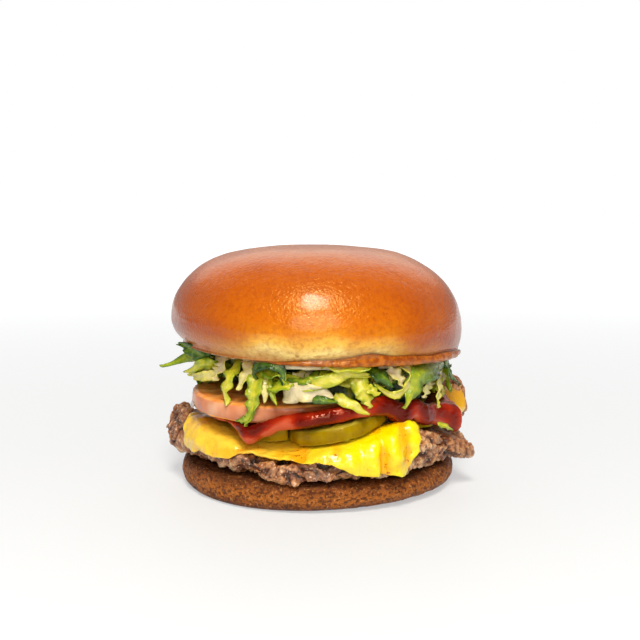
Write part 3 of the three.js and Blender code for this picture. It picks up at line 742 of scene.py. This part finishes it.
# Shreds in full view. Each runs through `spots`, which are (across, down, reach) in the camera's picture. `tone` goes
# from 0, a white rib, over 0.35, yellow, and 0.65, green, to 1, dark green, at its start and its end.
# `turn` rolls it about its length, in degrees.
frontShreds = [
    {
        "spots": [(206, 352, 46), (186, 359, 51), (160, 366, 60)],
        "width": 3.6, "tone": (0.72, 0.66), "turn": (10, 25),
    },
    {
        "spots": [(214, 362, 46), (198, 352, 50), (181, 343, 53)],
        "width": 5.6, "tone": (0.95, 0.8), "turn": (20, 10),
    },
    {
        "spots": [(214, 360, 45), (200, 358, 48), (188, 360, 50)],
        "width": 3, "tone": (0.3, 0.1), "turn": (0, 10),
    },
    {
        "spots": [(218, 366, 46), (202, 365, 50), (184, 372, 53)],
        "width": 4.4, "tone": (0.62, 0.5), "turn": (50, 20),
    },
    {
        "spots": [(217, 373, 47), (204, 377, 50), (190, 374, 51)],
        "width": 3.8, "tone": (0.2, 0.36), "turn": (20, 40),
    },
    {
        "spots": [(222, 354, 44), (221, 366, 47), (214, 381, 49)],
        "width": 6.4, "tone": (0.04, 0.16), "turn": (10, -10),
    },
    {
        "spots": [(238, 359, 44), (229, 374, 50), (224, 390, 51.5), (226, 406, 52)],
        "width": 5.2, "tone": (0.6, 0.36), "turn": (10, -20),
    },
    {
        "spots": [(251, 361, 44), (246, 374, 48), (239, 391, 50)],
        "width": 4.4, "tone": (0.12, 0.26), "turn": (10, 0),
    },
    {
        "spots": [(258, 370, 46), (254, 388, 49.5), (254, 406, 50.5), (248, 427, 51.5)],
        "width": 6.0, "tone": (0.5, 0.6), "turn": (10, -15),
    },
    {
        "spots": [(254, 408, 50), (246, 420, 51), (236, 421, 52)],
        "width": 3.0, "tone": (0.5, 0.75), "turn": (30, 60),
    },
    {
        "spots": [(253, 386, 47), (254, 369, 49), (267, 362, 50), (281, 370, 50), (284, 387, 49)],
        "width": 5, "tone": (1.0, 0.9), "turn": (20, 10),
    },
    {
        "spots": [(262, 368, 45), (271, 375, 48), (281, 374, 49), (285, 384, 49)],
        "width": 3.6, "tone": (0.7, 0.5), "turn": (40, 20),
    },
    {
        "spots": [(262, 374, 46), (265, 388, 49), (264, 403, 49.5)],
        "width": 3, "tone": (0.28, 0.2), "turn": (10, 30),
    },
    {
        "spots": [(269, 376, 46), (271, 390, 49), (277, 405, 50)],
        "width": 2.4, "tone": (0.7, 0.55), "turn": (0, 30),
    },
    {
        "spots": [(270, 384, 46), (281, 388, 50), (294, 386, 49)],
        "width": 4.6, "tone": (0.65, 0.5), "turn": (10, 50),
    },
    {
        "spots": [(284, 394, 46), (305, 392, 49), (333, 397, 47.5)],
        "width": 6.8, "tone": (0.0, 0.04), "turn": (-14, -10),
    },
    {
        "spots": [(304, 399, 48), (320, 399, 50), (338, 402, 49)],
        "width": 3.2, "tone": (0.95, 0.85), "turn": (-10, 0),
    },
    {
        "spots": [(280, 379, 45), (302, 385, 48), (326, 380, 49), (350, 374, 49), (374, 377, 48)],
        "width": 5.0, "tone": (0.5, 0.42), "turn": (0, -25),
    },
    {
        "spots": [(322, 366, 46), (345, 368, 49.5), (370, 369, 49.5)],
        "width": 4.2, "tone": (0.3, 0.5), "turn": (40, 0),
    },
    {
        "spots": [(288, 378, 46), (306, 381, 48.5), (322, 376, 48)],
        "width": 3.0, "tone": (0.85, 0.5), "turn": (20, 0),
    },
    {
        "spots": [(352, 374, 46), (363, 388, 49.5), (368, 398, 50), (371, 408, 50.5)],
        "width": 6.4, "tone": (0.5, 0.42), "turn": (-20, 20),
    },
    {
        "spots": [(362, 386, 47), (371, 391, 50), (379, 395, 50.5)],
        "width": 3.6, "tone": (0.4, 0.45), "turn": (-10, 20),
    },
    {
        "spots": [(334, 396, 47), (350, 404, 50), (369, 415, 51)],
        "width": 3.8, "tone": (0.45, 0.36), "turn": (-10, 10),
    },
    {
        "spots": [(368, 362, 45), (381, 373, 49), (394, 387, 50)],
        "width": 6.0, "tone": (1.0, 0.85), "turn": (10, 10),
    },
    {
        "spots": [(396, 366, 46), (410, 371, 50), (407, 387, 50.5), (392, 395, 50), (374, 384, 49)],
        "width": 3.6, "tone": (0.2, 0.45), "turn": (20, 30),
    },
    {
        "spots": [(388, 369, 46), (398, 377, 49), (402, 388, 49.5)],
        "width": 4.4, "tone": (0.04, 0.2), "turn": (-20, 30),
    },
    {
        "spots": [(446, 358, 47), (425, 371, 50.5), (414, 389, 51.5), (405, 409, 52)],
        "width": 8.2, "tone": (0.8, 0.56), "turn": (-10, 10),
    },
    {
        "spots": [(436, 372, 46), (429, 384, 49), (424, 398, 50)],
        "width": 4.8, "tone": (0.12, 0.2), "turn": (0, 20),
    },
    {
        "spots": [(441, 372, 47), (438, 387, 50), (437, 408, 51.5)],
        "width": 3.6, "tone": (0.08, 0.3), "turn": (0, 20),
    },
    {
        "spots": [(450, 354, 50), (447, 367, 53), (460, 385, 55)],
        "width": 3.4, "tone": (0.9, 0.85), "turn": (0, 20),
    },
    {
        "spots": [(438, 424, 53), (446, 426, 54.5), (453, 430, 55)],
        "width": 2, "tone": (0.55, 0.6), "turn": (0, 0),
    },
]


def lettuceMaterial():
    material = newMaterial(
        "crispLettuce", Roughness=0.2, Specular_IOR_Level=0.55, Subsurface_Weight=0.3, Subsurface_Scale=1.0,
        Subsurface_Radius=(0.0015, 0.002, 0.0005),
    )
    uneven = unevenness(material, 2.2, 4, 0.5)
    # Greens from a white rib to dark green; the dark end also colours the core as painted shade.
    colour = ramp(
        material, arithmetic(material, "ADD", attribute(material, "relief"), uneven),
        (0.0, rgb(226, 212, 168)), (0.2, rgb(220, 208, 120)), (0.4, rgb(206, 200, 50)), (0.62, rgb(142, 162, 26)),
        (0.82, rgb(78, 112, 20)), (1.0, rgb(30, 62, 16)),
    )
    return finish(material, Base_Color=colour, Normal=bump(material, clouds(material, 1.2, 3), 0.45))


# A smooth way through places: the place and the direction at a share of its length.
def along(places, share):
    x = share * (len(places) - 1)
    i = min(int(x), len(places) - 2)
    before = places[max(i - 1, 0)]
    after = places[min(i + 2, len(places) - 1)]
    t = x - i
    a, b = places[i], places[i + 1]
    slopeA, slopeB = (b - before) * 0.5, (after - a) * 0.5
    place = (
        a * (2 * t**3 - 3 * t**2 + 1) + slopeA * (t**3 - 2 * t**2 + t)
        + b * (3 * t**2 - 2 * t**3) + slopeB * (t**3 - t**2)
    )
    direction = (
        a * (6 * t**2 - 6 * t) + slopeA * (3 * t**2 - 4 * t + 1)
        + b * (6 * t - 6 * t**2) + slopeB * (3 * t**2 - 2 * t)
    )
    return place, direction.normalized()


# Adds one strip of leaf to the form. It ends in a point, and its edges are wavy and greener than its middle.
def addShred(form, tones, places, width, tone, turn, seed, cells=(18, 6)):
    waves = 2 + seed * 5 % 2.5
    made = bmesh.ops.create_grid(form, x_segments=cells[0], y_segments=cells[1], size=1)
    for vertex in made["verts"]:
        share, across = vertex.co.x / 2 + 0.5, vertex.co.y
        place, direction = along(places, share)
        outward = outwardFrom(place) + up * 0.35
        side = direction.cross(outward).normalized()
        face = side.cross(direction)
        roll = math.radians(turn[0] + (turn[1] - turn[0]) * share)
        side, face = side * math.cos(roll) + face * math.sin(roll), face * math.cos(roll) - side * math.sin(roll)
        pointed = max(1 - share**3.5, 0.05) * (0.6 + 0.4 * min(share * 4, 1))
        ragged = 1 + 0.16 * noise.noise(Vector((share * 7, seed * 5, 2 * math.copysign(1, across))))
        ruffle = math.sin(share * waves * 6.3 + seed * 9 + across) * across * across * 0.2
        fold = math.sin(seed * 5) * 0.16 * abs(across)
        wander = noise.noise(Vector((share * 3, seed * 9, 4))) * 0.2
        place += side * (across / 2 * pointed * ragged + wander) * width + face * (ruffle + fold) * width
        vertex.co = place * mm
        vertex[tones] = tone[0] + (tone[1] - tone[0]) * share + 0.2 * abs(across) - 0.12


# A shred that leaves the heap at any angle. At the front they stay high, clear of the tomato.
def looseShred(draw):
    angle = draw.uniform(0, 360)
    start = Vector((math.cos(math.radians(angle)), math.sin(math.radians(angle)), 0))
    tangent = up.cross(start)
    front = lettuce["frontFrom"] < angle < lettuce["frontTo"]
    top = draw.uniform(42.5, 47) if front else draw.uniform(39.5, 47)
    drop = draw.uniform(-1, 2) if front else draw.uniform(0, 9)
    reach = draw.uniform(41, 46) if front else draw.uniform(43, 49)
    reach -= 7 * hump(angle, 222, 22)
    swing = draw.uniform(-10, 10)
    places = [
        start * lettuce["rootReach"] + up * top - tangent * swing * 0.4,
        start * (reach - 3) + up * (top + draw.uniform(-1, 1)) + tangent * swing * 0.3,
        start * reach + up * (top - drop) + tangent * swing,
    ]
    tone = draw.choice([0.02, 0.15, 0.35, 0.45, 0.55, 0.65, 0.85, 0.95])
    turn = draw.uniform(-60, 60)
    return places, draw.uniform(3.5, 7), (tone, tone + draw.uniform(-0.1, 0.2)), (turn, turn + draw.uniform(-40, 40))


def makeLettuce():
    material = lettuceMaterial()

    def leafy(place, normal):
        reach = fromAxis(place)
        front = lettuce["frontReach"] - lettuce["coreReach"]
        most = lettuce["coreReach"] + front * hump(ringAngle(place), 228, 42) * (1 - fade(place.z, 42, 47))
        pulled = min(reach, most) / max(reach, 0.001)
        place = Vector((place.x * pulled, place.y * pulled, place.z))
        rough = 1.1 * wave(place, 4) + 0.9 * abs(wave(place, 2.1, 3))
        # The core takes the darker greens: a dark body standing in for the shade between the shreds.
        return place + normal * rough * fade(reach, 26, 32), 1.0 + 0.8 * wave(place, 4, 2)

    core = shaped(weldedCopy("lettuce"), remesh(lettuce["grid"]), smoothing(2))
    newPiece("lettuce_core", sculpt(core, leafy), material, "lettuce", "lettuce")

    form = bmesh.new()
    tones = form.verts.layers.float.new("relief")
    for number, shred in enumerate(frontShreds):
        places = [spot(*point) for point in shred["spots"]]
        addShred(form, tones, places, shred["width"], shred["tone"], shred["turn"], number * 0.37)
    draw = random.Random(lettuce["seed"])
    for number in range(lettuce["looseShreds"]):
        places, width, tone, turn = looseShred(draw)
        addShred(form, tones, places, width, tone, turn, number * 0.71, (12, 4))
    thick = ("SOLIDIFY", {"thickness": lettuce["thickness"] * mm, "offset": 0})
    newPiece("lettuce_shreds", shaped(meshOf(form, "shreds"), thick), material, "lettuce", "lettuce")


makeLettuce()

# The floor, the room and the lights. They are only in the picture.

studio = {
    "floorSide": 8000,
    "aimHeight": 45,
    "floorGlow": 0.43,
    "farGlow": 1.1,
    "glowFrom": 60,
    "glowTo": 1500,
    "backLight": 0.36,
    "frontLight": 0.16,
    "key": {
        "elevation": 55, "azimuth": 1, "distance": 1000,
        "wide": 250, "tall": 480, "power": 8.8, "tint": (1, 0.94, 0.8),
    },
    "fill": {
        "elevation": 22, "azimuth": 1, "distance": 1000,
        "wide": 560, "tall": 520, "power": 3.6, "tint": (1, 0.94, 0.8),
    },
    "top": {
        "elevation": 35, "azimuth": 182, "distance": 1100,
        "wide": 1700, "tall": 700, "power": 2.2, "tint": (1, 0.96, 0.9),
    },
}


def makeFloor():
    form = bmesh.new()
    bmesh.ops.create_grid(form, x_segments=8, y_segments=8, size=studio["floorSide"] * mm / 2)
    mesh = meshOf(form, "floor")
    material = newMaterial("studioFloor", Roughness=0.5, Specular_IOR_Level=0.1, Base_Color=rgb(178, 182, 190))
    place = add(material, "TexCoord", {}).outputs["Object"]
    away = add(material, "VectorMath", {0: place}, operation="LENGTH").outputs["Value"]
    # Painted light: the floor glows, least near the burger and more further off, so it fades into the white room; its
    # dimmer middle is painted shade round the burger.
    glow = add(material, "MapRange", {
        "Value": away, "From Min": studio["glowFrom"] * mm, "From Max": studio["glowTo"] * mm,
        "To Min": studio["floorGlow"], "To Max": studio["farGlow"],
    }).outputs[0]
    finish(material, Emission_Strength=glow)
    material.node_tree.nodes["Principled BSDF"].inputs["Emission Color"].default_value = (1, 1, 1, 1)
    mesh.materials.append(material)
    floor = bpy.data.objects.new("floor", mesh)
    scene.collection.objects.link(floor)


def makeLights():
    for name in ("key", "fill", "top"):
        settings = studio[name]
        data = bpy.data.lights.new(name, "AREA")
        data.shape = "ELLIPSE"
        data.size = settings["wide"] * mm
        data.size_y = settings["tall"] * mm
        data.energy = settings["power"]
        data.color = settings["tint"]
        lamp = bpy.data.objects.new(name, data)
        azimuth, elevation = math.radians(settings["azimuth"]), math.radians(settings["elevation"])
        away = Vector((
            math.sin(azimuth) * math.cos(elevation), -math.cos(azimuth) * math.cos(elevation), math.sin(elevation),
        ))
        lamp.location = away * settings["distance"] * mm + up * studio["aimHeight"] * mm
        lamp.rotation_euler = away.to_track_quat("Z", "Y").to_euler()
        scene.collection.objects.link(lamp)


# A white room that is darker above and on the camera's side.
def makeRoom():
    world = bpy.data.worlds.new("studio")
    world.use_nodes = True
    scene.world = world
    background = world.node_tree.nodes["Background"]
    direction = add(world, "TexCoord", {}).outputs["Generated"]
    depth = add(world, "SeparateXYZ", {0: direction}).outputs["Y"]
    strength = add(world, "MapRange", {
        "Value": depth, "From Min": 0, "From Max": 0.8, "To Min": studio["frontLight"], "To Max": studio["backLight"],
    }).outputs[0]
    seen = add(world, "LightPath", {}).outputs["Is Camera Ray"]
    strength = add(world, "Math", {0: strength, 1: seen}, operation="MAXIMUM").outputs[0]
    world.node_tree.links.new(strength, background.inputs["Strength"])
    background.inputs["Color"].default_value = (1, 1, 1, 1)


makeFloor()
makeLights()
makeRoom()
scene.view_settings.view_transform = "Standard"
print("studio ready")
